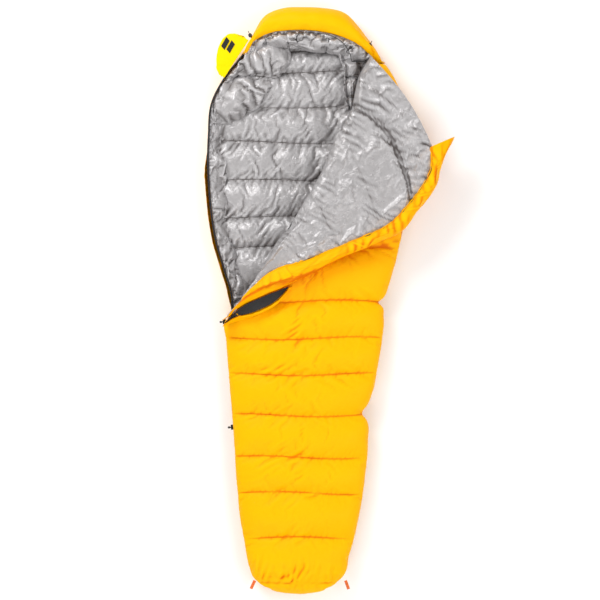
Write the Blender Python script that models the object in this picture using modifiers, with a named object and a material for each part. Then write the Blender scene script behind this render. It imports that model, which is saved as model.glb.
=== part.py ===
"""Mummy sleeping bag, lying on its back with the front panel unzipped and folded open.

Frame: metres, +Z up, +Y towards the head, origin on the flat underside of the back panel.
Each down chamber, fabric panel, zip part and trim piece is an object of its own.
The front flap is worked out in its closed place and then turned about the fold line.
"""
import math

import bmesh
import bpy
from mathutils import Matrix, Vector

# ---------------------------------------------------------------- driving dimensions
FOOT_SEAM_Y = -1.040          # seam between the leg panels and the foot box
FOOT_END_Y = -1.084           # tip of the foot box
NECK_Y = 0.868                # top seam of the back panel
HOOD_CENTRE = Vector((0.015, 0.880))
HOOD_HALF_WIDTH = 0.213
HOOD_LENGTH = 0.193

ZIP_FOOT_Y = -0.720           # lower end of the zip
APEX_Y = -0.068               # where the zip is open from
ZIP_TOP_Y = 0.930

# Outline of the bag lying flat: (y, x, slope dx/dy, or None for a smooth curve)
ZIP_SLOPE = -0.0777
LEFT_EDGE = (
    (-1.040, -0.168, -0.60), (-0.940, -0.206, None), (ZIP_FOOT_Y, -0.2385, ZIP_SLOPE),
    (APEX_Y, -0.2891, ZIP_SLOPE), (0.200, -0.325, None), (0.420, -0.352, None),
    (0.600, -0.355, 0.0), (0.730, -0.340, None), (0.830, -0.290, None), (0.940, -0.205, 0.75),
)
RIGHT_EDGE = (
    (-1.040, 0.140, 0.60), (-0.940, 0.168, None), (-0.720, 0.216, None), (-0.420, 0.238, None),
    (-0.150, 0.284, None), (0.100, 0.318, None), (0.400, 0.385, None), (0.620, 0.415, 0.0),
    (0.740, 0.388, None), (0.830, 0.336, None), (0.900, 0.270, -1.1),
)

BACK_CHAMBERS = 13
FRONT_CHAMBERS = 7            # full-width rows below the open zip
SIDE_CHAMBERS = 2             # rows beside the fold, above them
FLAP_CHAMBERS = 3
FLAP_START_Y = 0.100
FLAP_TIP_Y = 0.985            # where the open half of the zip ends

FABRIC = 0.0008               # thickness of a panel of cloth with its seam allowance
SLACK = 0.0015                # air between a chamber and the cloth over it
SEAM_GAP = 0.0010             # half the gap between neighbouring chambers

SIDE_RADIUS = 0.055           # rounding of the back panel's sides, up to the side seam
BACK_CROWN = 0.050            # top of a back chamber between its seams
BACK_SEAM = 0.036             # top of a back chamber at its seams
SIDE_SEAM_Z = 0.0585
FRONT_TOP = 0.150
FRONT_SEAM_DROP = 0.020       # how far the cloth dips at a cross seam
CEILING = 0.100               # underside of the front panel
HEM = 0.035                   # thickness of the front panel where it meets the side seam

FOLD_Z = 0.1535
FOLD_ANGLE = math.radians(61.0)
FOLD_HALF_GAP = 0.030         # cloth that the fold itself takes up on each side
SIDE_START_Y = APEX_Y + 0.030 # where the part of the front beside the fold starts
FLAP_EDGE_INSET = 0.014
FLAP_FILL_INSET = 0.005       # cloth beyond the fill that the zip tape is sewn to
FLAP_EDGE_OUTER = 0.117
FLAP_EDGE_INNER = 0.097
FLAP_ROLL = 0.100             # width over which the flap's edge rolls down

ZIP_LOW_Z = 0.0565
ZIP_HIGH_Z = 0.0905
TAPE_WIDTH = 0.013
COIL = 0.0020

YELLOW = (1.00, 0.55, 0.01)
LEMON = (0.96, 0.72, 0.02)
GREY = (0.36, 0.34, 0.34)
WHITE_DOWN = (0.90, 0.89, 0.86)
BLACK = (0.015, 0.015, 0.017)
ORANGE = (0.90, 0.22, 0.03)

# ---------------------------------------------------------------- scene and materials
for old in list(bpy.data.objects):
    bpy.data.objects.remove(old, do_unlink=True)

BAG = bpy.data.collections.new("mummy_sleeping_bag")
CUTTERS = bpy.data.collections.new("cutters")
bpy.context.scene.collection.children.link(BAG)
bpy.context.scene.collection.children.link(CUTTERS)


def finish(obj, colour, roughness=0.6, metallic=0.0):
    """Give the object its own material."""
    material = bpy.data.materials.new(obj.name + "_material")
    material.use_nodes = True
    shader = material.node_tree.nodes["Principled BSDF"]
    shader.inputs["Base Color"].default_value = (*colour, 1.0)
    shader.inputs["Roughness"].default_value = roughness
    shader.inputs["Metallic"].default_value = metallic
    obj.data.materials.append(material)
    return obj


def adopt(name, bm, origin=Vector((0.0, 0.0, 0.0))):
    """Turn a bmesh in world coordinates into an object with its origin at a given point."""
    bmesh.ops.translate(bm, verts=bm.verts, vec=-origin)
    bmesh.ops.recalc_face_normals(bm, faces=bm.faces)
    mesh = bpy.data.meshes.new(name)
    bm.to_mesh(mesh)
    bm.free()
    obj = bpy.data.objects.new(name, mesh)
    obj.location = origin
    BAG.objects.link(obj)
    return obj


# ---------------------------------------------------------------- curves and profiles
def through(points, y):
    """Smooth curve x(y) through (y, x, slope) points."""
    slopes = []
    for i, (py, px, slope) in enumerate(points):
        if slope is None:
            before, after = points[i - 1], points[i + 1]
            slope = (after[1] - before[1]) / (after[0] - before[0])
        slopes.append(slope)
    y = min(max(y, points[0][0]), points[-1][0])
    i = 0
    while i < len(points) - 2 and y > points[i + 1][0]:
        i += 1
    span = points[i + 1][0] - points[i][0]
    t = (y - points[i][0]) / span
    return ((2 * t ** 3 - 3 * t ** 2 + 1) * points[i][1]
            + (t ** 3 - 2 * t ** 2 + t) * span * slopes[i]
            + (3 * t ** 2 - 2 * t ** 3) * points[i + 1][1]
            + (t ** 3 - t ** 2) * span * slopes[i + 1])


def left_edge(y):
    return through(LEFT_EDGE, y)


def right_edge(y):
    return through(RIGHT_EDGE, y)


def smooth_step(start, end, value):
    t = min(max((value - start) / (end - start), 0.0), 1.0)
    return t * t * (3 - 2 * t)


def spread(start, end, count):
    return [start + (end - start) * i / (count - 1) for i in range(count)]


APEX = Vector((left_edge(APEX_Y), APEX_Y, FOLD_Z))
FOLD_DIRECTION = Vector((math.cos(FOLD_ANGLE), math.sin(FOLD_ANGLE), 0.0))


def fold_x(y):
    """Where the fold line crosses a given y."""
    return APEX.x + (y - APEX.y) / math.tan(FOLD_ANGLE)


# ---------------------------------------------------------------- builders
def grid_faces(bm, grid):
    """Triangles over a grid of vertices, all split along the same diagonal."""
    for i in range(len(grid) - 1):
        for j in range(len(grid[0]) - 1):
            a, b, c, d = grid[i][j], grid[i + 1][j], grid[i + 1][j + 1], grid[i][j + 1]
            bm.faces.new((a, b, c))
            bm.faces.new((a, c, d))


def pad(name, lower, upper, origin=Vector((0.0, 0.0, 0.0))):
    """A filled chamber between two matching grids of points."""
    bm = bmesh.new()
    low = [[bm.verts.new(p) for p in row] for row in lower]
    top = [[bm.verts.new(p) for p in row] for row in upper]
    grid_faces(bm, low)
    grid_faces(bm, top)
    rows, columns = len(low), len(low[0])
    border = [(0, j) for j in range(columns)] + [(i, columns - 1) for i in range(1, rows)]
    border += [(rows - 1, j) for j in range(columns - 2, -1, -1)]
    border += [(i, 0) for i in range(rows - 2, 0, -1)]
    for (i, j), (k, m) in zip(border, border[1:] + border[:1]):
        bm.faces.new((low[i][j], low[k][m], top[k][m]))
        bm.faces.new((low[i][j], top[k][m], top[i][j]))
    return adopt(name, bm, origin)


def sheet(name, surface, origin=Vector((0.0, 0.0, 0.0))):
    """A panel of cloth: an open surface given its thickness by Solidify."""
    bm = bmesh.new()
    grid_faces(bm, [[bm.verts.new(p) for p in row] for row in surface])
    obj = adopt(name, bm, origin)
    solid = obj.modifiers.new("cloth", "SOLIDIFY")
    solid.thickness = FABRIC
    solid.offset = 0.0
    return obj


def loft(name, rings, origin=Vector((0.0, 0.0, 0.0))):
    """A closed body through matching closed rings, capped at both ends."""
    bm = bmesh.new()
    loops = [[bm.verts.new(p) for p in ring] for ring in rings]
    for first, second in zip(loops, loops[1:]):
        for j in range(len(first)):
            k = (j + 1) % len(first)
            bm.faces.new((first[j], first[k], second[k]))
            bm.faces.new((first[j], second[k], second[j]))
    bm.faces.new(loops[0])
    bm.faces.new(loops[-1])
    return adopt(name, bm, origin)


def strip(name, path, across, up, origin=Vector((0.0, 0.0, 0.0))):
    """A band of rectangular section along a path; across and up are (low, high) offsets."""
    rings = []
    for point in path:
        rings.append([point + Vector((across[i], 0.0, up[j]))
                      for i, j in ((0, 0), (1, 0), (1, 1), (0, 1))])
    return loft(name, rings, origin)


def turned_over(points):
    """Carry closed-flap points to where they lie with the flap folded open."""
    turn = (Matrix.Translation(APEX) @ Matrix.Rotation(math.pi, 4, FOLD_DIRECTION)
            @ Matrix.Translation(-APEX))
    return [[turn @ p for p in row] for row in points]


# ---------------------------------------------------------------- back panel
SIDE_ANGLES = [math.radians(a) for a in (0.0, 25.0, 55.0, 90.0)]
FLOOR_STEPS = 4


def tray_row(y, inset, first):
    """Across the rounded underside, a distance inside the shell; first picks the angles."""
    left, right = left_edge(y), right_edge(y)
    sides = [(SIDE_RADIUS - (SIDE_RADIUS - inset) * math.cos(a),
              SIDE_RADIUS - (SIDE_RADIUS - inset) * math.sin(a)) for a in SIDE_ANGLES[first:]]
    row = [Vector((left + dx, y, z)) for dx, z in sides]
    row += [Vector((x, y, inset)) for x in
            spread(left + SIDE_RADIUS, right - SIDE_RADIUS, FLOOR_STEPS + 1)[1:-1]]
    row += [Vector((right - dx, y, z)) for dx, z in reversed(sides)]
    return row


def back_top_row(y, level, lift):
    """Across the top of the back panel; level is its height away from the side seams."""
    row = tray_row(y, SLACK + FABRIC, 1)
    edge = BACK_CROWN - 0.002
    heights = [edge, edge + 0.3 * (level - edge)] + [level] * (len(row) - 4)
    heights += [edge + 0.3 * (level - edge), edge]
    return [Vector((p.x, p.y, z + lift)) for p, z in zip(row, heights)]


def seam_rows(start, end, count):
    """(y, crown) at each cross seam and half-way between seams."""
    rows = []
    for k, y in enumerate(spread(start, end, 2 * count + 1)):
        rows.append((y, k % 2))
    return rows


def back_panel():
    rows = seam_rows(FOOT_SEAM_Y, NECK_Y, BACK_CHAMBERS)
    sheet_surface = [tray_row(y, FABRIC / 2, 0) for y, crown in rows]
    finish(sheet("back_shell", sheet_surface), YELLOW)
    levels = (BACK_SEAM, BACK_CROWN)
    surface = [back_top_row(y, levels[crown], SLACK) for y, crown in rows]
    finish(sheet("back_lining", surface), GREY, 0.4)
    pitch = (NECK_Y - FOOT_SEAM_Y) / BACK_CHAMBERS
    for n in range(BACK_CHAMBERS):
        start = FOOT_SEAM_Y + n * pitch
        cuts = ((start + SEAM_GAP, 0), (start + pitch / 2, 1), (start + pitch - SEAM_GAP, 0))
        lower = [tray_row(y, SLACK + FABRIC, 1) for y, crown in cuts]
        upper = [back_top_row(y, levels[crown], 0.0) for y, crown in cuts]
        finish(pad("back_down_%02d" % (n + 1), lower, upper), WHITE_DOWN, 0.9)


# ---------------------------------------------------------------- front panel
ARCH_STEPS = 9


def arch_row(y, rise, inset, start_x=None):
    """Across the front panel, from start_x (or the left seam) to the right side seam."""
    left, right = left_edge(y), right_edge(y)
    centre, half = (left + right) / 2, (right - left) / 2 - inset
    first = 0.0
    if start_x is not None:
        first = math.acos(min(1.0, max(-1.0, (centre - start_x) / half)))
    row = []
    for angle in spread(first, math.pi, ARCH_STEPS):
        lift = max(math.sin(angle), 0.0) ** 0.75
        row.append(Vector((centre - half * math.cos(angle), y, SIDE_SEAM_Z + rise * lift)))
    return row


def front_start(y):
    """Left end of the front panel: the side seam, then the fold once the zip is open."""
    return None if y < APEX_Y + SEAM_GAP else fold_x(y) + FOLD_HALF_GAP


def front_rows(y, crown):
    """Outer and inner surfaces of the front fill at one y."""
    rise = FRONT_TOP - SIDE_SEAM_Z - (0.0 if crown else FRONT_SEAM_DROP)
    outer = arch_row(y, rise, SLACK + FABRIC, front_start(y))
    inner = arch_row(y, CEILING - SIDE_SEAM_Z, HEM, front_start(y))
    return outer, inner


def front_panel():
    rows = seam_rows(FOOT_SEAM_Y, APEX_Y, FRONT_CHAMBERS)
    upper = seam_rows(SIDE_START_Y, NECK_Y, SIDE_CHAMBERS * 3)
    shell, lining = [], []
    for y, crown in rows + upper:
        rise = FRONT_TOP - SIDE_SEAM_Z - (0.0 if crown else FRONT_SEAM_DROP)
        shell.append(arch_row(y, rise + SLACK / 2, FABRIC, front_start(y)))
        lining.append(arch_row(y, CEILING - SIDE_SEAM_Z - SLACK, HEM + SLACK, front_start(y)))
    finish(sheet("front_shell", shell), YELLOW)
    finish(sheet("front_lining", lining), GREY, 0.4)
    pitch = (APEX_Y - FOOT_SEAM_Y) / FRONT_CHAMBERS
    for n in range(FRONT_CHAMBERS):
        start = FOOT_SEAM_Y + n * pitch
        front_chamber(n + 1, ((start + SEAM_GAP, 0), (start + pitch / 2, 1),
                              (start + pitch - SEAM_GAP, 0)))
    step = (NECK_Y - SIDE_START_Y) / SIDE_CHAMBERS
    for n in range(SIDE_CHAMBERS):
        start = SIDE_START_Y + n * step
        cuts = seam_rows(start, start + step, 3)
        cuts[0] = (cuts[0][0] + SEAM_GAP, cuts[0][1])
        cuts[-1] = (cuts[-1][0] - SEAM_GAP, cuts[-1][1])
        front_chamber(FRONT_CHAMBERS + 1 + n, cuts)


def front_chamber(number, cuts):
    pairs = [front_rows(y, crown) for y, crown in cuts]
    lower = [inner for outer, inner in pairs]
    upper = [outer for outer, inner in pairs]
    finish(pad("front_down_%02d" % number, lower, upper), WHITE_DOWN, 0.9)


# ---------------------------------------------------------------- foot box and hood
def foot_box():
    """The rounded end of the bag, with its own fill."""
    rings = []
    middle = (left_edge(FOOT_SEAM_Y) + right_edge(FOOT_SEAM_Y)) / 2
    for y, half, low, high in ((FOOT_SEAM_Y - 0.002, 0.140, 0.004, 0.112),
                               (FOOT_SEAM_Y - 0.022, 0.128, 0.010, 0.104),
                               (FOOT_SEAM_Y - 0.036, 0.104, 0.024, 0.090),
                               (FOOT_END_Y, 0.070, 0.040, 0.074)):
        ring = []
        for angle in spread(0.0, 2 * math.pi, 17)[:-1]:
            ring.append(Vector((middle + half * math.cos(angle), y,
                                (low + high) / 2 + (high - low) / 2 * math.sin(angle))))
        rings.append(ring)
    finish(loft("foot_box", rings), YELLOW)


HOOD_POWER = 2 / 2.4
HOOD_FROM, HOOD_TO = math.radians(2.0), math.radians(162.0)
HOOD_MIDDLE = math.radians(84.0)
BRIM_FULL = 0.165
BRIM_FLAT = 0.084
HOOD_FLOOR = 0.050


def hood_point(angle, inward, z):
    """A point a distance inside the hood's rounded outline."""
    cosine, sine = math.cos(angle), math.sin(angle)
    x = math.copysign(abs(cosine) ** HOOD_POWER, cosine) * (HOOD_HALF_WIDTH - inward)
    y = max(sine, 0.0) ** HOOD_POWER * (HOOD_LENGTH - inward)
    return Vector((HOOD_CENTRE.x + x, HOOD_CENTRE.y + y, z))


def brim_width(angle):
    return 0.046 + 0.042 * max(math.sin(angle), 0.0)


def brim_height(angle):
    """Full at the top of the head and flat where the open zip lets the hood fall."""
    degrees = math.degrees(angle)
    risen = smooth_step(140.0, 88.0, degrees) * (0.62 + 0.38 * smooth_step(5.0, 60.0, degrees))
    return BRIM_FLAT + (BRIM_FULL - BRIM_FLAT) * risen


def brim_ring(angle, skin):
    """Section of the brim's fill: up the side wall, over the head and back inside."""
    k = brim_height(angle) / BRIM_FULL
    width = brim_width(angle)
    return [hood_point(angle, inward, z) for inward, z in (
        (skin + 0.002, HOOD_FLOOR + 0.004), (skin, 0.100 * k + 0.004),
        (skin + 0.016, 0.143 * k), (width, BRIM_FULL * k - 0.004),
        (width, 0.138 * k - 0.002), (0.044, 0.112 * k + 0.002), (0.036, HOOD_FLOOR + 0.004))]


def hood():
    skin = FABRIC + SLACK
    angles = spread(HOOD_FROM, HOOD_TO, 13)
    floor_low, floor_top, outer, inner = [], [], [], []
    for angle in angles:
        k = brim_height(angle) / BRIM_FULL
        width = brim_width(angle)
        floor_low.append([hood_point(angle, inward, z) for inward, z in (
            (0.016, 0.014), (0.041, skin), (0.110, skin), (0.178, skin))])
        floor_top.append([hood_point(angle, inward, z) for inward, z in (
            (0.016, HOOD_FLOOR - 0.008), (0.041, HOOD_FLOOR), (0.110, HOOD_FLOOR),
            (0.178, HOOD_FLOOR))])
        outer.append([hood_point(angle, inward, z) for inward, z in (
            (width + 0.002, BRIM_FULL * k - 0.0008), (0.016, 0.143 * k + 0.0028),
            (FABRIC / 2, 0.100 * k + 0.0055), (FABRIC / 2, HOOD_FLOOR), (0.012, 0.010),
            (0.036, FABRIC / 2), (0.178, FABRIC / 2))])
        inner.append([hood_point(angle, inward, z) for inward, z in (
            (width + 0.0018, 0.138 * k - 0.0048), (0.047, 0.112 * k - 0.0018),
            (0.0395, HOOD_FLOOR + 0.0030), (0.060, HOOD_FLOOR + 0.0018),
            (0.110, HOOD_FLOOR + 0.0018), (0.178, HOOD_FLOOR + 0.0018))])
    finish(pad("hood_back_down", floor_low, floor_top), WHITE_DOWN, 0.9)
    finish(sheet("hood_shell", outer), YELLOW)
    finish(sheet("hood_lining", inner), GREY, 0.4)
    gap = math.radians(0.3)
    for name, start, end in (("right", HOOD_FROM + 4 * gap, HOOD_MIDDLE - gap),
                             ("left", HOOD_MIDDLE + gap, HOOD_TO - 8 * gap)):
        rings = [brim_ring(angle, skin) for angle in spread(start, end, 7)]
        finish(loft("hood_down_" + name, rings), WHITE_DOWN, 0.9)


# ---------------------------------------------------------------- inside the neck and along the zip
def zip_height(y):
    return ZIP_LOW_Z + (ZIP_HIGH_Z - ZIP_LOW_Z) * smooth_step(APEX_Y, APEX_Y + 0.170, y)


def draft_tube():
    rings = []
    for y in spread(APEX_Y + 0.090, 0.700, 8):
        left = left_edge(y)
        top = zip_height(y) - 0.005
        rings.append([Vector((left + dx, y, z)) for dx, z in (
            (0.010, 0.0555), (0.004, (0.0555 + top) / 2), (0.012, top),
            (0.040, top), (0.058, (0.0555 + top) / 2), (0.054, 0.0555))])
    finish(loft("draft_tube", rings), GREY, 0.4)


def collar(name, path, height):
    """A stuffed collar roll along a short path across the shoulder."""
    rings = []
    for (x, y), half in path:
        ring = []
        for angle in spread(0.0, 2 * math.pi, 11)[:-1]:
            z = 0.0555 + height / 2 + height / 2 * math.sin(angle)
            ring.append(Vector((x, y + half * math.cos(angle), z)))
        rings.append(ring)
    finish(loft(name, rings), GREY, 0.4)


def zip_path(start, end, count, lift=0.0):
    return [Vector((left_edge(y), y, zip_height(y) + lift)) for y in spread(start, end, count)]


def zip_fastener():
    tape_in, tape_out = -0.0007, -0.0014
    coil_in, coil_out = -0.0018, -0.0045
    gap = 0.0002
    finish(strip("zip_tape_back", zip_path(ZIP_FOOT_Y, ZIP_TOP_Y, 26), (tape_out, tape_in),
                 (-gap - COIL - TAPE_WIDTH, -gap - COIL)), BLACK, 0.8)
    finish(strip("zip_coil_back", zip_path(ZIP_FOOT_Y, ZIP_TOP_Y, 26), (coil_out, coil_in),
                 (-gap - COIL, -gap)), BLACK, 0.35)
    finish(strip("zip_tape_front", zip_path(ZIP_FOOT_Y, APEX_Y, 10), (tape_out, tape_in),
                 (gap + COIL, gap + COIL + TAPE_WIDTH)), BLACK, 0.8)
    finish(strip("zip_coil_front", zip_path(ZIP_FOOT_Y, APEX_Y, 10), (coil_out, coil_in),
                 (gap, gap + COIL)), BLACK, 0.35)


SLIDER_LENGTH = 0.018
MAIN_SLIDER_Y = APEX_Y - 0.012
LOWER_SLIDER_Y = -0.470
PULL_PIVOT = -0.0105          # the pull's axis, outward from the bag's edge


def slider(label, y):
    """A channel over both coils, with two outer rails that hold the pull's rounded end."""
    place = (Matrix.Translation((left_edge(y), y, zip_height(y)))
             @ Matrix.Rotation(-math.atan(ZIP_SLOPE), 4, "Z"))
    outline = ((-0.0017, 0.0052), (-0.0017, 0.0029), (-0.0054, 0.0029), (-0.0054, -0.0029),
               (-0.0017, -0.0029), (-0.0017, -0.0052), (-0.0125, -0.0052), (-0.0125, -0.0025),
               (-0.0080, -0.0025), (-0.0080, 0.0025), (-0.0125, 0.0025), (-0.0125, 0.0052))
    ends = (-SLIDER_LENGTH / 2, SLIDER_LENGTH / 2)
    rings = [[place @ Vector((x, end, z)) for x, z in outline] for end in ends]
    finish(loft(label + "_slider", rings, place.translation), BLACK, 0.3, 0.6)
    rings = []
    for x, half in ((-0.0086, 0.0012), (-0.0105, 0.0019), (-0.0135, 0.0018), (-0.0165, 0.0036),
                    (-0.0215, 0.0040), (-0.0240, 0.0028)):
        rings.append([place @ Vector((x, half * u, 0.0018 * v))
                      for u, v in ((-1, -1), (1, -1), (1, 1), (-1, 1))])
    pivot = place @ Vector((PULL_PIVOT, 0.0, 0.0))
    finish(loft(label + "_pull", rings, pivot), BLACK, 0.5)


# ---------------------------------------------------------------- folded-open flap
def flap_row(y, crown, offset):
    """Inner and outer points across the closed flap, from its zip edge to the fold."""
    start = left_edge(y) + FLAP_EDGE_INSET + FLAP_FILL_INSET
    end = fold_x(y) - FOLD_HALF_GAP
    inner, outer = [], []
    for t in (0.0, 0.10, 0.25, 0.55, 1.0):
        x = start + (end - start) * t
        roll = math.sin(min((x - start) / FLAP_ROLL, 1.0) * math.pi / 2)
        top = FLAP_EDGE_OUTER + (FRONT_TOP - FLAP_EDGE_OUTER) * roll
        if not crown:
            top -= FRONT_SEAM_DROP * roll * 0.6
        bottom = FLAP_EDGE_INNER + (CEILING - FLAP_EDGE_INNER) * roll
        outer.append(Vector((x, y, top + offset)))
        inner.append(Vector((x, y, bottom - offset)))
    return inner, outer


def flap():
    rows = seam_rows(FLAP_START_Y, NECK_Y, FLAP_CHAMBERS * 2)
    cloth = SLACK + FABRIC / 2
    shell = [flap_row(y, crown, cloth)[1] for y, crown in rows]
    lining = [flap_row(y, crown, cloth)[0] for y, crown in rows]
    finish(sheet("flap_shell", turned_over(shell), APEX), YELLOW)
    finish(sheet("flap_lining", turned_over(lining), APEX), GREY, 0.4)
    for n in range(FLAP_CHAMBERS):
        cuts = rows[4 * n:4 * n + 5]
        cuts[0] = (cuts[0][0] + SEAM_GAP, cuts[0][1])
        cuts[-1] = (cuts[-1][0] - SEAM_GAP, cuts[-1][1])
        pairs = [flap_row(y, crown, 0.0) for y, crown in cuts]
        lower = turned_over([inner for inner, outer in pairs])
        upper = turned_over([outer for inner, outer in pairs])
        finish(pad("flap_down_%02d" % (n + 1), lower, upper, APEX), WHITE_DOWN, 0.9)
    path = [p + Vector((FLAP_EDGE_INSET, 0.0, 0.0))
            for p in zip_path(FLAP_START_Y, FLAP_TIP_Y, 16)]
    finish(flap_strip("zip_tape_flap", path, (-0.0014, -0.0007),
                      (0.0002 + COIL, 0.0002 + COIL + TAPE_WIDTH)), BLACK, 0.8)
    finish(flap_strip("zip_coil_flap", path, (-0.0045, -0.0018), (0.0002, 0.0002 + COIL)),
           BLACK, 0.35)


def flap_strip(name, path, across, up):
    """A strip along the flap's zip edge, carried over with the open flap."""
    rings = [[p + Vector((across[i], 0.0, up[j])) for i, j in ((0, 0), (1, 0), (1, 1), (0, 1))]
             for p in path]
    return loft(name, turned_over(rings), APEX)


# ---------------------------------------------------------------- tab, cord and loops
TAB_HINGE = (Vector((-0.300, 0.835, 0.108)), Vector((-0.222, 0.955, 0.108)))
TAB_LOW = 0.0965
TAB_THICKNESS = 0.0050
PATCH_THICKNESS = 0.0016


def tab_point(along, outward, z):
    direction = (TAB_HINGE[1] - TAB_HINGE[0])
    away = Vector((-direction.y, direction.x, 0.0)).normalized()
    point = TAB_HINGE[0] + direction * along + away * outward
    return Vector((point.x, point.y, z))


def zip_tab():
    """The flap of cloth that closes over the top of the zip, with its two grip patches."""
    lower, upper = [], []
    for along, reach in ((-0.05, 0.010), (0.12, 0.036), (0.36, 0.057), (0.62, 0.067), (0.89, 0.070),
                         (1.06, 0.046)):
        lower.append([tab_point(along, r, TAB_LOW) for r in (0.002, reach / 2, reach)])
        upper.append([tab_point(along, r, TAB_LOW + TAB_THICKNESS)
                      for r in (0.002, reach / 2, reach)])
    finish(pad("zip_tab", lower, upper, TAB_HINGE[0]), LEMON)
    base = TAB_LOW + TAB_THICKNESS + 0.0003
    for name, low in (("tab_hook_patch", 0.041), ("tab_loop_patch", 0.018)):
        corners = ((0.53, low), (0.80, low + 0.002), (0.84, low + 0.020), (0.57, low + 0.018))
        rings = [[tab_point(a, r, base + z) for a, r in corners] for z in (0.0, PATCH_THICKNESS)]
        finish(loft(name, rings, TAB_HINGE[0]), BLACK, 0.9)


CORD_RADIUS = 0.0014
LOCK_RADIUS = 0.0070
LOCK_CORD_HEIGHT = 0.008
# side, foot of the barrel, and the way the cord leaves it towards the brim
LOCKS = (("left", Vector((-0.199, 0.978, 0.060)), math.radians(-66.0)),
         ("right", Vector((0.243, 0.940, 0.076)), math.radians(-116.0)))


def lock_run(centre, heading):
    """Straight stretch of cord through a lock, from its free end to the brim side."""
    along = Vector((math.cos(heading), math.sin(heading), 0.0))
    middle = centre + Vector((0.0, 0.0, LOCK_CORD_HEIGHT))
    return [middle + along * reach for reach in (-0.018, -0.009, 0.0, 0.009, 0.013)]


def hood_drawcord():
    """Elastic cord along the inner edge of the hood's brim, out to a lock at each end."""
    inner = []
    for angle in spread(math.radians(157.0), math.radians(7.0), 22):
        k = brim_height(angle) / BRIM_FULL
        inner.append(hood_point(angle, brim_width(angle) + 0.0065, 0.150 * k))
    left, right = [lock_run(centre, heading) for side, centre, heading in LOCKS]
    start = left + [hood_point(math.radians(168.0), inward, 0.074) for inward in (-0.008, 0.052)]
    end = [hood_point(0.0, inward, 0.090) for inward in (0.052, -0.008)] + right[::-1]
    route = start + inner + end
    curve = bpy.data.curves.new("hood_drawcord", "CURVE")
    curve.dimensions = "3D"
    curve.bevel_depth = CORD_RADIUS
    curve.bevel_resolution = 2
    curve.use_fill_caps = True
    spline = curve.splines.new("POLY")
    spline.points.add(len(route) - 1)
    for point, place in zip(spline.points, route):
        point.co = (*place, 1.0)
    obj = bpy.data.objects.new("hood_drawcord", curve)
    BAG.objects.link(obj)
    finish(obj, BLACK, 0.7)


def cylinder(name, radius, low, high, centre, sides=20):
    bpy.ops.mesh.primitive_cylinder_add(vertices=sides, radius=radius, depth=high - low,
                                        location=centre + Vector((0.0, 0.0, (low + high) / 2)))
    obj = bpy.context.object
    obj.name = name
    obj.data.name = name
    for owner in list(obj.users_collection):
        owner.objects.unlink(obj)
    BAG.objects.link(obj)
    return obj


def cut(target, cutter):
    """Take the cutter away from the target; the cutter stays as a wire guide."""
    BAG.objects.unlink(cutter)
    CUTTERS.objects.link(cutter)
    cutter.hide_render = True
    cutter.display_type = "WIRE"
    boolean = target.modifiers.new("cut", "BOOLEAN")
    boolean.operation = "DIFFERENCE"
    boolean.object = cutter


def cord_lock(side, centre, heading):
    """A barrel that the cord runs through, and the spring button that lets it go."""
    barrel = cylinder("cord_lock_" + side, LOCK_RADIUS, 0.0, 0.020, centre)
    bore = cylinder("cord_lock_bore_" + side, 0.0052, 0.0125, 0.030, centre)
    passage = cylinder("cord_lock_passage_" + side, 0.0024, -0.030, 0.030, Vector((0.0, 0.0, 0.0)), 12)
    passage.matrix_world = (Matrix.Translation(centre + Vector((0.0, 0.0, LOCK_CORD_HEIGHT)))
                            @ Matrix.Rotation(heading, 4, "Z")
                            @ Matrix.Rotation(math.pi / 2, 4, "Y"))
    cut(barrel, bore)
    cut(barrel, passage)
    finish(barrel, BLACK, 0.4)
    finish(cylinder("cord_lock_button_" + side, 0.0049, 0.0175, 0.0255, centre), BLACK, 0.4)


def foot_loop(side, base, heading):
    """A short tape folded flat on itself and sewn into the corner of the foot box."""
    out = Vector((math.cos(heading), math.sin(heading), 0.0))
    across = Vector((-out.y, out.x, 0.0)) * 0.0055
    rings = []
    for reach, half in ((0.002, 0.0011), (0.006, 0.0014), (0.030, 0.0016), (0.036, 0.0009)):
        rings.append([base + out * reach + across * u + Vector((0.0, 0.0, half * v))
                      for u, v in ((-1, -1), (1, -1), (1, 1), (-1, 1))])
    finish(loft("foot_loop_" + side, rings, base), ORANGE, 0.8)


# ---------------------------------------------------------------- the whole bag
back_panel()
front_panel()
foot_box()
hood()
draft_tube()
collar("draft_collar_left", (((-0.285, 0.735), 0.045), ((-0.250, 0.755), 0.080),
                             ((-0.180, 0.790), 0.115), ((-0.110, 0.800), 0.115),
                             ((-0.070, 0.800), 0.075)), 0.038)
collar("draft_collar_right", (((0.100, 0.822), 0.025), ((0.130, 0.824), 0.040),
                              ((0.165, 0.826), 0.040), ((0.188, 0.834), 0.022)), 0.036)
zip_fastener()
slider("main", MAIN_SLIDER_Y)
slider("lower", LOWER_SLIDER_Y)
flap()
zip_tab()
hood_drawcord()
for lock in LOCKS:
    cord_lock(*lock)
foot_loop("left", Vector((-0.181, -1.036, 0.060)), math.radians(245.0))
foot_loop("right", Vector((0.153, -1.036, 0.060)), math.radians(290.0))
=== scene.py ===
"""Looks of the mummy sleeping bag: quilted shell and lining by cloth simulation, zip, tab and trim."""
import math

import bpy
import numpy as np
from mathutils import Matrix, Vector, noise


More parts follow.
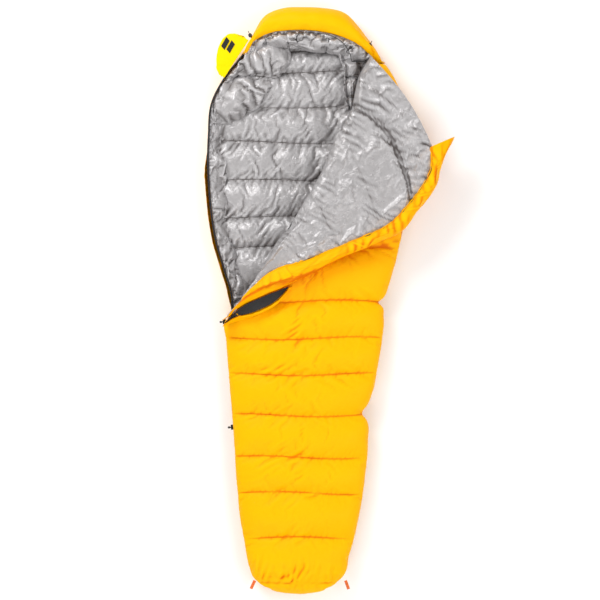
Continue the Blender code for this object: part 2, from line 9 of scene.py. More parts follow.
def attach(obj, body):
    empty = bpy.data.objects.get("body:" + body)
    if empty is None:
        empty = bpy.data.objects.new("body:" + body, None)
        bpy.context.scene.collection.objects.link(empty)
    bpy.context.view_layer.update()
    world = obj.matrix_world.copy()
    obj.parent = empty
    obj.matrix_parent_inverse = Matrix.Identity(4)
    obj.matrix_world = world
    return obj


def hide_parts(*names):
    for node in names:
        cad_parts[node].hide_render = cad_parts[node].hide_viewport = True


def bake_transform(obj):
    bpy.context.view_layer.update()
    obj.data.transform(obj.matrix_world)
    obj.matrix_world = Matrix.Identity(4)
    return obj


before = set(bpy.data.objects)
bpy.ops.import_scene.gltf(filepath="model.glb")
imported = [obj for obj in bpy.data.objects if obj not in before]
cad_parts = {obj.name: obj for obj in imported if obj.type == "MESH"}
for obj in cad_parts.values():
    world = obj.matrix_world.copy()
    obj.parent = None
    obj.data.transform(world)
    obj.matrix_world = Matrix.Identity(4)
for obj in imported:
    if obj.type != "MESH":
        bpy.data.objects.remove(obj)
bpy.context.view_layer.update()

SCENE = bpy.context.scene
SCENE.view_settings.view_transform = "Standard"


# ---------------------------------------------------------------- camera, floor and light
def stage():
    camera_data = bpy.data.cameras.new("camera")
    camera_data.sensor_width = 36.0
    distance, span = 9.0, 2.235
    camera_data.lens = 36.0 * distance / span
    camera = bpy.data.objects.new("camera", camera_data)
    camera.location = (-0.0147, 0.0, distance)
    SCENE.collection.objects.link(camera)
    SCENE.camera = camera

    bpy.ops.mesh.primitive_plane_add(size=14.0, location=(0.0, 0.0, -0.0005))
    floor = bpy.context.object
    floor.name = "floor"
    material = bpy.data.materials.new("floor_paper")
    material.use_nodes = True
    shader = material.node_tree.nodes["Principled BSDF"]
    shader.inputs["Base Color"].default_value = (0.93, 0.93, 0.93, 1.0)
    shader.inputs["Roughness"].default_value = 0.9
    floor.data.materials.append(material)

    world = bpy.data.worlds.new("studio")
    world.use_nodes = True
    world.node_tree.nodes["Background"].inputs["Color"].default_value = (1.0, 1.0, 1.0, 1.0)
    world.node_tree.nodes["Background"].inputs["Strength"].default_value = 0.62
    SCENE.world = world
    for name, place, size, power in (("key", (-1.6, 2.4, 2.6), 1.6, 82.0),
                                     ("fill", (2.4, -1.0, 3.4), 2.6, 60.0),
                                     ("foot", (-1.0, -3.0, 3.0), 2.2, 45.0)):
        data = bpy.data.lights.new(name, "AREA")
        data.size = size
        data.energy = power
        light = bpy.data.objects.new(name, data)
        light.location = place
        aim = Vector((0.0, 0.0, 0.05)) - light.location
        light.rotation_euler = aim.to_track_quat("-Z", "Y").to_euler()
        SCENE.collection.objects.link(light)


# ---------------------------------------------------------------- curves
def curve(points, count=None, at=None):
    """Smooth curve through points (any dimension), read at equal steps of its length or at given shares."""
    points = np.array(points, float)
    steps = np.linalg.norm(np.diff(points, axis=0), axis=1)
    s = np.concatenate([[0.0], np.cumsum(steps)])
    s /= s[-1]
    at = np.linspace(0.0, 1.0, count) if at is None else np.clip(np.asarray(at, float), 0.0, 1.0)
    tangents = np.gradient(points, s, axis=0)
    i = np.clip(np.searchsorted(s, at, side="right") - 1, 0, len(s) - 2)
    h = (s[i + 1] - s[i])[..., None]
    t = ((at - s[i]) / (s[i + 1] - s[i]))[..., None]
    return ((2 * t ** 3 - 3 * t ** 2 + 1) * points[i] + (t ** 3 - 2 * t ** 2 + t) * h * tangents[i]
            + (3 * t ** 2 - 2 * t ** 3) * points[i + 1] + (t ** 3 - t ** 2) * h * tangents[i + 1])


def along_y(points, y):
    """x of a smooth curve through (y, x) points, at given y."""
    points = np.array(points, float)
    y = np.clip(np.asarray(y, float), points[0, 0], points[-1, 0])
    tangents = np.gradient(points[:, 1], points[:, 0])
    i = np.clip(np.searchsorted(points[:, 0], y, side="right") - 1, 0, len(points) - 2)
    h = points[i + 1, 0] - points[i, 0]
    t = (y - points[i, 0]) / h
    return ((2 * t ** 3 - 3 * t ** 2 + 1) * points[i, 1] + (t ** 3 - 2 * t ** 2 + t) * h * tangents[i]
            + (3 * t ** 2 - 2 * t ** 3) * points[i + 1, 1] + (t ** 3 - t ** 2) * h * tangents[i + 1])


def ease(start, end, value):
    t = np.clip((np.asarray(value, float) - start) / (end - start), 0.0, 1.0)
    return t * t * (3 - 2 * t)


# ---------------------------------------------------------------- cloth
def grid_mesh(name, points):
    rows, columns = points.shape[:2]
    mesh = bpy.data.meshes.new(name)
    index = np.arange(rows * columns).reshape(rows, columns)
    faces = np.stack([index[:-1, :-1], index[:-1, 1:], index[1:, 1:], index[1:, :-1]], -1)
    mesh.from_pydata(points.reshape(-1, 3).tolist(), [], faces.reshape(-1, 4).tolist())
    obj = bpy.data.objects.new(name, mesh)
    SCENE.collection.objects.link(obj)
    return obj


def co(obj):
    return np.array([v.co for v in obj.data.vertices], float).reshape(-1, 3)


def blow(obj, pins, pressure, grow, frames, bending=0.02, stiff=12.0):
    """Inflate oversized cloth held along its pinned vertices, and keep the shape it takes."""
    group = obj.vertex_groups.new(name="pin")
    for weight in np.unique(pins):
        if weight > 0:
            group.add(np.nonzero(pins == weight)[0].tolist(), float(weight), "REPLACE")
    cloth = obj.modifiers.new("Cloth", "CLOTH")
    settings = cloth.settings
    settings.quality = 6
    settings.mass = 0.12
    settings.air_damping = 2.0
    settings.tension_stiffness = stiff
    settings.compression_stiffness = stiff
    settings.shear_stiffness = stiff * 0.4
    settings.bending_stiffness = bending
    settings.vertex_group_mass = "pin"
    settings.pin_stiffness = 1.0
    settings.use_pressure = True
    settings.uniform_pressure_force = pressure
    settings.shrink_min = -grow
    settings.shrink_max = -grow
    settings.effector_weights.gravity = 0.0
    cloth.collision_settings.use_collision = False
    cloth.collision_settings.use_self_collision = False
    cloth.point_cache.frame_start = 1
    cloth.point_cache.frame_end = frames
    SCENE.frame_start, SCENE.frame_end = 1, frames
    for step in range(1, frames + 1):
        SCENE.frame_set(step)
    graph = bpy.context.evaluated_depsgraph_get()
    shaped = bpy.data.meshes.new_from_object(obj.evaluated_get(graph))
    result = np.array([v.co for v in shaped.vertices], float).reshape(-1, 3)
    obj.modifiers.remove(cloth)
    obj.vertex_groups.clear()
    bpy.data.meshes.remove(shaped)
    SCENE.frame_set(1)
    return result


def rows_through(seams, cell):
    """y of every grid row, so that each seam falls on a row; also which rows are seams. cell is the
    spacing wanted at a y."""
    ys, held = [seams[0]], [0]
    for low, high in zip(seams, seams[1:]):
        count = max(4, int(round((high - low) / cell((low + high) / 2))))
        ys += [low + (high - low) * k / count for k in range(1, count + 1)]
        held.append(len(ys) - 1)
    return np.array(ys), held


def crown(ys, seams):
    """0 at each seam and 1 half-way between seams."""
    seams = np.array(seams)
    i = np.clip(np.searchsorted(seams, ys, side="right") - 1, 0, len(seams) - 2)
    return np.abs(np.sin(np.pi * np.clip((ys - seams[i]) / (seams[i + 1] - seams[i]), 0.0, 1.0)))


def wave(points, size, amount, seed):
    """Small smooth shifts, so that no two chambers fold alike."""
    flat = points.reshape(-1, 3)
    shift = [noise.noise(Vector(p) / size + Vector((seed, seed * 1.7, 0.0))) * amount for p in flat]
    return np.array(shift).reshape(points.shape[:2])


# ---------------------------------------------------------------- materials
def node_material(name):
    material = bpy.data.materials.new(name)
    material.use_nodes = True
    tree = material.node_tree
    return material, tree, tree.nodes["Principled BSDF"]


def link(tree, a, b):
    tree.links.new(a, b)


def texture(tree, kind, scale, coords, **inputs):
    node = tree.nodes.new(kind)
    node.inputs["Scale"].default_value = scale
    for key, value in inputs.items():
        node.inputs[key].default_value = value
    link(tree, coords, node.inputs["Vector"])
    return node


def math_node(tree, operation, a, b):
    node = tree.nodes.new("ShaderNodeMath")
    node.operation = operation
    for socket, value in zip(node.inputs, (a, b)):
        if isinstance(value, (int, float)):
            socket.default_value = value
        else:
            link(tree, value, socket)
    return node.outputs["Value"]


def ramp(tree, factor, stops):
    node = tree.nodes.new("ShaderNodeValToRGB")
    while len(node.color_ramp.elements) < len(stops):
        node.color_ramp.elements.new(0.5)
    for element, (place, colour) in zip(node.color_ramp.elements, stops):
        element.position = place
        element.color = (*colour, 1.0)
    link(tree, factor, node.inputs["Fac"])
    return node.outputs["Color"]


def cloth_material(name, shadow, middle, light, roughness, crinkle, crinkle_scale, weave=0.15,
                   sheen=0.0, metallic=0.0, coat=0.0, gloss=0.5):
    """Thin glossy nylon: colour is painted shade in the folds and painted highlight on the crowns, read
    from the fold attribute with random patches, with a fine crinkle and a weave.
    """
    material, tree, shader = node_material(name)
    coords = tree.nodes.new("ShaderNodeTexCoord").outputs["Object"]
    # fold attribute: painted shade in creases and seams, painted highlight on crowns
    fold = tree.nodes.new("ShaderNodeAttribute")
    fold.attribute_name = "fold"
    patch = texture(tree, "ShaderNodeTexNoise", 9.0, coords, Detail=3.0)
    tone = math_node(tree, "ADD", fold.outputs["Fac"], math_node(
        tree, "MULTIPLY", math_node(tree, "SUBTRACT", patch.outputs["Fac"], 0.5), 0.35))
    # ramp from the painted shadow colour through the cloth's middle colour to the painted highlight colour
    colour = ramp(tree, tone, ((0.0, shadow), (0.42, middle), (1.0, light)))
    link(tree, colour, shader.inputs["Base Color"])
    rough = texture(tree, "ShaderNodeTexNoise", 45.0, coords, Detail=2.0)
    low, high = roughness
    link(tree, math_node(tree, "ADD", math_node(tree, "MULTIPLY", rough.outputs["Fac"], high - low), low),
         shader.inputs["Roughness"])
    shader.inputs["Metallic"].default_value = metallic
    shader.inputs["Specular IOR Level"].default_value = gloss
    shader.inputs["Sheen Weight"].default_value = sheen
    shader.inputs["Coat Weight"].default_value = coat
    shader.inputs["Coat Roughness"].default_value = 0.25
    # crinkle: ridges of a warped noise, then the weave on top of it
    warp = texture(tree, "ShaderNodeTexNoise", crinkle_scale, coords, Detail=4.0, Distortion=1.1)
    ridge = math_node(tree, "ABSOLUTE", math_node(tree, "SUBTRACT", warp.outputs["Fac"], 0.5), 0.0)
    first = tree.nodes.new("ShaderNodeBump")
    first.inputs["Strength"].default_value = crinkle
    first.inputs["Distance"].default_value = 0.012
    first.invert = True
    link(tree, ridge, first.inputs["Height"])
    threads = texture(tree, "ShaderNodeTexWave", 420.0, coords, Distortion=0.6)
    second = tree.nodes.new("ShaderNodeBump")
    second.inputs["Strength"].default_value = weave
    second.inputs["Distance"].default_value = 0.0004
    link(tree, threads.outputs["Fac"], second.inputs["Height"])
    link(tree, first.outputs["Normal"], second.inputs["Normal"])
    link(tree, second.outputs["Normal"], shader.inputs["Normal"])
    return material


# each cloth: painted shadow colour, its middle colour, painted highlight colour, then roughness and crinkle
SHELL = cloth_material("shell_ripstop", (0.70, 0.155, 0.0), (0.98, 0.44, 0.0), (1.0, 0.50, 0.0),
                       (0.42, 0.60), 0.16, 26.0, gloss=0.06)
LINING = cloth_material("lining_taffeta", (0.060, 0.048, 0.045), (0.335, 0.320, 0.320), (0.50, 0.485, 0.49),
                        (0.20, 0.40), 0.55, 34.0, metallic=0.25, coat=0.30)
TAB_CLOTH = cloth_material("tab_cloth", (0.80, 0.42, 0.0), (0.92, 0.64, 0.0), (0.95, 0.70, 0.0),
                           (0.45, 0.60), 0.15, 40.0, gloss=0.06)


def plain_material(name, colour, roughness, grain_scale, grain, metallic=0.0, wave_bands=False):
    """Dyed tape, moulded plastic or enamelled metal with its own fine grain."""
    material, tree, shader = node_material(name)
    coords = tree.nodes.new("ShaderNodeTexCoord").outputs["Object"]
    spots = texture(tree, "ShaderNodeTexNoise", grain_scale * 0.3, coords, Detail=3.0)
    dark = tuple(c * 0.6 for c in colour)
    light = tuple(min(1.0, c * 1.5 + 0.004) for c in colour)
    link(tree, ramp(tree, spots.outputs["Fac"], ((0.3, dark), (0.55, colour), (0.8, light))),
         shader.inputs["Base Color"])
    shader.inputs["Metallic"].default_value = metallic
    link(tree, math_node(tree, "ADD", math_node(tree, "MULTIPLY", spots.outputs["Fac"], 0.2),
                         roughness - 0.1), shader.inputs["Roughness"])
    kind = "ShaderNodeTexWave" if wave_bands else "ShaderNodeTexNoise"
    grains = texture(tree, kind, grain_scale, coords)
    bump = tree.nodes.new("ShaderNodeBump")
    bump.inputs["Strength"].default_value = grain
    bump.inputs["Distance"].default_value = 0.0006
    link(tree, grains.outputs["Fac"], bump.inputs["Height"])
    link(tree, bump.outputs["Normal"], shader.inputs["Normal"])
    return material


TAPE = plain_material("zip_tape_weave", (0.018, 0.017, 0.018), 0.75, 900.0, 0.5, wave_bands=True)
COIL = plain_material("zip_coil_nylon", (0.014, 0.014, 0.016), 0.40, 500.0, 0.2)
METAL = plain_material("slider_enamel", (0.02, 0.02, 0.022), 0.32, 300.0, 0.1, metallic=0.7)
PLASTIC = plain_material("moulded_plastic", (0.022, 0.022, 0.024), 0.45, 600.0, 0.25)
PILE = plain_material("grip_pile", (0.016, 0.016, 0.018), 0.92, 1500.0, 0.9)
CORD = plain_material("cord_braid", (0.02, 0.02, 0.02), 0.7, 1200.0, 0.6, wave_bands=True)
LOOP = plain_material("loop_webbing", (0.85, 0.17, 0.03), 0.75, 1000.0, 0.6, wave_bands=True)


# ---------------------------------------------------------------- pieces
def paint_crease_shade_and_crown_light(obj, shape, dark, reach=0.010):
    """Attribute fold: low in creases and seams as painted shade, high on crowns as painted highlight, from
    the surface's own relief; dark lowers it further as extra painted shade.
    """
    points = co(obj).reshape(*shape, 3)
    padded = np.pad(points, ((2, 2), (2, 2), (0, 0)), mode="edge")
    around = sum(padded[i:i + shape[0], j:j + shape[1]] for i, j in
                 ((0, 2), (4, 2), (2, 0), (2, 4), (1, 1), (3, 3), (1, 3), (3, 1))) / 8.0
    normals = np.cross(np.gradient(points, axis=1), np.gradient(points, axis=0))
    normals /= np.maximum(np.linalg.norm(normals, axis=2, keepdims=True), 1e-9)
    relief = ((points - around) * normals).sum(2)
    value = np.clip(0.55 + relief / reach * 1.6 - dark, 0.0, 1.0)
    layer = obj.data.attributes.new("fold", "FLOAT", "POINT")
    layer.data.foreach_set("value", value.astype(np.float32).ravel())


def puckers(points, near, amount, size, angle, seed):
    """Small uneven folds that run at an angle (degrees) in plan, strongest where near is 1."""
    c, s = math.cos(math.radians(angle)), math.sin(math.radians(angle))
    value = []
    for x, y, _ in points.reshape(-1, 3):
        wander = noise.noise(Vector((x / 0.08, y / 0.08, seed + 20.0)))
        across = (y * c - x * s) / size + wander * 1.3
        value.append(noise.noise(Vector((across, (x * c + y * s) / (size * 4.0), seed))) * (0.7 + wander))
    return np.array(value).reshape(points.shape[:2]) * near * amount


def seam_share(y, seams, reach):
    """1 on a cross seam, falling to 0 at reach from it."""
    gap = np.min(np.abs(np.asarray(y)[..., None] - np.array(seams)), -1)
    return np.clip(1.0 - gap / reach, 0.0, 1.0) * np.clip(gap / (0.15 * reach), 0.0, 1.0)


def quilt(name, points, pins, material, pressure=2.2, grow=0.08, frames=20, bending=0.02, limit=None,
          floor=None, dark=0.0, part_at=None):
    """One panel of stuffed cloth: a grid held along its seams, inflated and shaded smooth. limit caps how
    far a point moves, floor is the least height, and part_at empties a band of heights."""
    shape = points.shape[:2]
    obj = grid_mesh(name + "_cage", points)
    final = blow(obj, pins.ravel(), pressure, grow, frames, bending)
    bpy.data.objects.remove(obj, do_unlink=True)
    if limit is not None:
        shift = final - points.reshape(-1, 3)
        length = np.maximum(np.linalg.norm(shift, axis=1, keepdims=True), 1e-9)
        final = points.reshape(-1, 3) + shift * np.minimum(1.0, limit / length)
    if floor is not None:
        final[:, 2] = np.maximum(final[:, 2], floor)
    if part_at is not None:
        low, high = part_at
        z = final[:, 2]
        inside = (z > low) & (z < high)
        final[:, 2] = np.where(inside, np.where(z < (low + high) / 2, low, high), z)
    obj = grid_mesh(name, final.reshape(*shape, 3))
    obj.data.materials.append(material)
    obj.data.shade_smooth()
    # painted shade in creases and seams, painted highlight on crowns, and dark as extra painted shade
    paint_crease_shade_and_crown_light(obj, shape, dark)
    return obj


# ---------------------------------------------------------------- outline of the bag lying flat
LEFT = ((-1.086, -0.020), (-1.080, -0.080), (-1.065, -0.125), (-1.030, -0.176), (-0.986, -0.195),
        (-0.898, -0.213), (-0.800, -0.231), (-0.720, -0.2395), (-0.456, -0.2585), (-0.280, -0.2730),
        (-0.147, -0.2835), (-0.085, -0.2890), (-0.050, -0.272), (0.000, -0.268), (0.118, -0.298),
        (0.206, -0.324), (0.383, -0.350), (0.604, -0.354), (0.736, -0.339), (0.824, -0.292),
        (0.913, -0.222), (0.960, -0.190), (1.000, -0.168), (1.045, -0.130))
RIGHT = ((-1.086, -0.020), (-1.080, 0.040), (-1.065, 0.085), (-1.030, 0.134), (-0.942, 0.166),
         (-0.810, 0.199), (-0.640, 0.226), (-0.520, 0.236), (-0.445, 0.231), (-0.418, 0.214),
         (-0.392, 0.232), (-0.340, 0.254), (-0.260, 0.270), (-0.150, 0.288), (-0.060, 0.294),
         (-0.022, 0.288), (-0.008, 0.274), (0.008, 0.290), (0.060, 0.312), (0.118, 0.329),
         (0.250, 0.361), (0.400, 0.392), (0.604, 0.410), (0.692, 0.393), (0.780, 0.352),
         (0.868, 0.300), (0.913, 0.262), (0.957, 0.228), (1.001, 0.195), (1.045, 0.155))
FOOT_SEAM_Y, NECK_Y = -1.041, 0.868
FOOT_DEPTH = 0.0433             # how far the rounded foot reaches past its seam
FOOT_ROUND = 0.0435             # a hair more, so its last row keeps some height
BACK_SEAMS = (-1.041, -0.876, -0.710, -0.578, -0.423, -0.272, -0.130, 0.037, 0.199, 0.305, 0.442,
              0.585, 0.718, 0.846, 0.922, 1.000)
FRONT_SEAMS = (-1.041, -0.876, -0.710, -0.578, -0.423, -0.272, -0.140, -0.005, 0.200, 0.370, 0.540,
               0.700, 0.868)
APEX = Vector((-0.2891, -0.068, 0.1535))
SIDE_Z = 0.0585


def zip_z(y):
    return 0.0565 + 0.034 * ease(APEX.y, APEX.y + 0.170, y)


def ruled(left, right, columns):
    """Grid between two edge curves, each rows x 3."""
    u = np.linspace(0.0, 1.0, columns)[None, :, None]
    return left[:, None, :] * (1 - u) + right[:, None, :] * u


def lifted(plan, z):
    """Plan points (rows x 2) with a height for each row."""
    return np.stack([plan[:, 0], plan[:, 1], z], -1)


def border(shape, rows=()):
    pins = np.zeros(shape)
    pins[0] = pins[-1] = pins[:, 0] = pins[:, -1] = 1.0
    pins[list(rows)] = 1.0
    return pins


def near_line(points, line, width):
    """1 on a seam drawn as a polyline in plan, falling to 0 at width from it."""
    flat = points[..., :2].reshape(-1, 2)
    best = np.full(len(flat), 9.0)
    for a, b in zip(np.array(line, float), np.array(line, float)[1:]):
        d = b - a
        t = np.clip(((flat - a) @ d) / (d @ d), 0.0, 1.0)
        best = np.minimum(best, np.linalg.norm(flat - a - t[:, None] * d, axis=1))
    return np.clip(1.0 - best / width, 0.0, 1.0).reshape(points.shape[:2])


# ---------------------------------------------------------------- back of the bag
def back_lining():
    ys, held = rows_through(BACK_SEAMS, lambda y: 0.0056 if y > -0.15 else 0.028)
    left, right = along_y(LEFT, ys) + 0.008, along_y(RIGHT, ys) - 0.030
    middle = np.minimum(0.250, right - 0.06)
    u = np.linspace(0.0, 1.0, 104)[None, :]
    fine = left[:, None] * (1 - u) + middle[:, None] * u
    v = np.linspace(0.0, 1.0, 8)[None, 1:]
    x = np.concatenate([fine, middle[:, None] * (1 - v) + right[:, None] * v], 1)
    y = np.repeat(ys[:, None], x.shape[1], 1)
    y = y + 0.006 * np.sin(x * 9.0 + y * 7.0) * ease(-0.15, 0.0, y) * (1 - ease(0.95, 1.0, y))
    edge = np.minimum(x - left[:, None], right[:, None] - x)
    rise = 1.0 - ease(0.0, 0.050, edge)
    floor = 0.034 + (zip_z(y) - 0.012 - 0.034) * rise
    z = floor + 0.022 * crown(ys, BACK_SEAMS)[:, None] ** 0.8 * ease(0.0, 0.08, edge) ** 0.6
    points = np.stack([x, y, z], -1)
    near = seam_share(ys, BACK_SEAMS, 0.075)[:, None] * ease(0.0, 0.03, edge)
    points[..., 2] += wave(points, 0.06, 0.004, 3.0) + (
        puckers(points, near, 0.010, 0.016, 55.0, 1.5) + puckers(points, near, 0.004, 0.014, 110.0, 2.5))
    points[held, :, 2] = floor[held]
    pins = border(points.shape[:2], held)
    obj = quilt("back_lining_cloth", points, pins, LINING, 2.2, 0.030, frames=16, floor=0.010)
    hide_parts("back_lining", *["back_down_%02d" % n for n in range(1, 14)], "hood_back_down")
    return obj


def foot_share(y):
    """1 along the bag, falling to 0 on a round at the foot."""
    return np.sqrt(np.clip(1.0 - (np.clip(FOOT_SEAM_Y - y, 0.0, None) / FOOT_ROUND) ** 2, 0.0, 1.0))


def back_shell():
    foot = FOOT_SEAM_Y - FOOT_DEPTH * np.sin(np.linspace(np.pi / 2, 0.0, 8)[:-1])
    ys, held = rows_through(BACK_SEAMS[:-1] + (1.020,), lambda y: 0.011)
    ys = np.concatenate([foot, ys])
    held = [h + len(foot) for h in held]
    left, right = along_y(LEFT, ys), along_y(RIGHT, ys)
    k = foot_share(ys)
    hood = ease(0.90, 0.99, ys)
    top_left = (zip_z(ys) - 0.003) * (1 - hood) + 0.010 * hood
    top_right = (SIDE_Z - 0.003) * (1 - hood) + 0.010 * hood
    shown = ease(-0.06, 0.02, ys) * (1 - ease(0.45, 0.60, ys))
    left = left + 0.003 - 0.0145 * shown
    right = right - 0.003
    a = np.linspace(0.0, np.pi / 2, 9)[None, :]
    radius = np.minimum(0.062, 0.45 * (right - left))[:, None]
    low = (0.050 * (1 - k))[:, None]
    inset = 0.028 * hood[:, None]
    x_left = left[:, None] + inset + radius * (1 - np.cos(a)) * 0.9
    z_left = low + (top_left[:, None] - low) * (1 - np.sin(a))
    x_right = right[:, None] - inset - radius * (1 - np.cos(a)) * 0.9
    z_right = low + (top_right[:, None] - low) * (1 - np.sin(a))
    u = np.linspace(0.0, 1.0, 46)[None, 1:-1]
    x_mid = x_left[:, -1:] * (1 - u) + x_right[:, -1:] * u
    z_mid = np.repeat(low, u.shape[1], 1)
    x = np.concatenate([x_left, x_mid, x_right[:, ::-1]], 1)
    z = np.concatenate([z_left, z_mid, z_right[:, ::-1]], 1)
    y = np.repeat(ys[:, None], x.shape[1], 1)
    inward = (1 - np.abs(crown(np.clip(ys, FOOT_SEAM_Y, 1.0), BACK_SEAMS)))[:, None] * 0.004
    z = z + inward * (np.abs(x - (left + right)[:, None] / 2) < (right - left)[:, None])
    points = np.stack([x, y, z + 0.0005], -1)[:, ::-1]
    obj = quilt("back_shell_cloth", points, border(points.shape[:2], held), SHELL, 1.6, 0.035,
                frames=14, limit=0.008, floor=0.0004)
    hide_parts("back_shell")
    return obj


# ---------------------------------------------------------------- front of the bag
def arch(left, right, z_left, z_right, top, columns, power=0.62):
    """Rows across a stuffed front: x, z for each row."""
    a = np.linspace(0.0, np.pi, columns)[None, :]
    centre, half = (left + right)[:, None] / 2, (right - left)[:, None] / 2
    x = centre - half * np.cos(a)
    share = (1 - np.cos(a)) / 2
    base = z_left[:, None] * (1 - share) + z_right[:, None] * share
    return x, base + (top[:, None] - base) * np.sin(a).clip(0) ** power


def front_shell():
    foot = FOOT_SEAM_Y - FOOT_DEPTH * np.sin(np.linspace(np.pi / 2, 0.0, 9)[:-1])
    ys, held = rows_through(FRONT_SEAMS, lambda y: 0.0060 if y < 0.2 else 0.012)
    ys = np.concatenate([foot, ys])
    held = [h + len(foot) for h in held]
    opened = ease(APEX.y - 0.012, APEX.y + 0.030, ys)
    left = (along_y(LEFT, ys) - 0.0015) * (1 - opened) + (fold_edge_x(ys) + 0.016) * opened
    right = along_y(RIGHT, ys) + 0.001
    k = foot_share(ys)
    z_right = SIDE_Z * k + 0.052 * (1 - k)
    z_left = z_right * (1 - opened) + (FOLD_LOW_Z - 0.030 * (1 - ease(0.0, 0.08, ys))) * opened
    puff = crown(np.clip(ys, FOOT_SEAM_Y, NECK_Y), FRONT_SEAMS) ** 0.8
    top = z_right + (0.120 + 0.023 * puff - SIDE_Z) * k
    x, z = arch(left, right, z_left, z_right, top, 120)
    y = np.repeat(ys[:, None], x.shape[1], 1)
    y = y + (0.006 * np.sin(x * 11.0 + y * 5.0) - 0.03 * (x * x)) * ease(FOOT_SEAM_Y, -0.9, y) * (
        1 - ease(0.7, 0.86, y))
    above = np.sin(np.pi * ease(-0.01, 0.07, z - z_left[:, None]))
    side = (1 - ease(0.0, 0.035, x - left[:, None])) * above
    x = x - 0.006 * side * (1 - opened)[:, None]
    points = np.stack([x, y, z], -1)
    near = seam_share(ys, FRONT_SEAMS, 0.070)[:, None] * np.sin(np.linspace(0, np.pi, 120))[None] ** 0.3
    points[..., 2] += wave(points, 0.09, 0.003, 8.0) + (
        puckers(points, near * (1 - ease(-0.05, 0.12, x)), 0.011, 0.018, 24.0, 6.5)
        + puckers(points, near * ease(-0.05, 0.12, x), 0.005, 0.018, 160.0, 7.5)
        + puckers(points, ease(-0.90, -1.02, y), 0.010, 0.016, 80.0, 8.5))
    points[held, :, 2] = z[held]
    # painted shadow on the front shell just below the flap's band, where the raised band would cast it
    shade = 0.35 * near_line(points, BAND_OUTER, 0.045) * (y > APEX.y)
    obj = quilt("front_shell_cloth", points, border(points.shape[:2], held), SHELL, 2.2, 0.008,
                frames=14, bending=0.01, dark=shade)
    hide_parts("front_shell", "front_lining", "foot_box",
                *["front_down_%02d" % n for n in range(1, 10)])
    return obj


# ---------------------------------------------------------------- front flap, folded open
FOLD_EDGE = ((-0.284, -0.060), (-0.199, 0.052), (-0.119, 0.184), (-0.027, 0.307), (0.053, 0.442),
             (0.114, 0.577), (0.176, 0.705), (0.204, 0.815), (0.243, 0.896))
BAND_BORDER = ((-0.279, -0.063), (-0.190, 0.036), (-0.103, 0.103), (-0.015, 0.136), (0.096, 0.180),
               (0.224, 0.232), (0.309, 0.272), (0.379, 0.342), (0.434, 0.416), (0.467, 0.486),
               (0.466, 0.560))
BAND_OUTER = ((-0.302, -0.077), (-0.199, -0.011), (-0.059, 0.055), (0.040, 0.103), (0.180, 0.169),
              (0.280, 0.210), (0.364, 0.254), (0.420, 0.331), (0.475, 0.401), (0.519, 0.515),
              (0.550, 0.596))
FLAP_SEAMS = (((0.174, 0.718), (0.231, 0.681), (0.286, 0.632), (0.323, 0.577), (0.353, 0.503),
               (0.378, 0.436), (0.392, 0.350)),)
FAINT_SEAMS = (((0.204, 0.797), (0.260, 0.765), (0.335, 0.699), (0.400, 0.630), (0.440, 0.560)),
               ((0.323, 0.607), (0.372, 0.560), (0.421, 0.515)),
               ((0.173, 0.534), (0.220, 0.430), (0.255, 0.340), (0.285, 0.250)),
               ((0.060, 0.342), (0.080, 0.290), (0.125, 0.200)),
               ((-0.060, 0.240), (-0.037, 0.202), (-0.010, 0.133)))
FOLD_LOW_Z, FOLD_HIGH_Z = 0.1525, 0.1545    # the shell just under and just over the fold's axis
LINING_LOW_Z, LINING_HIGH_Z = 0.147, 0.160  # no point of the flap lining lies between these heights


def fold_edge_x(y):
    return along_y([(point[1], point[0]) for point in FOLD_EDGE], y)


def flap_height(t):
    """Top of the folded flap, from the zip's open point to the neck."""
    return 0.168 + 0.026 * ease(0.02, 0.30, t)


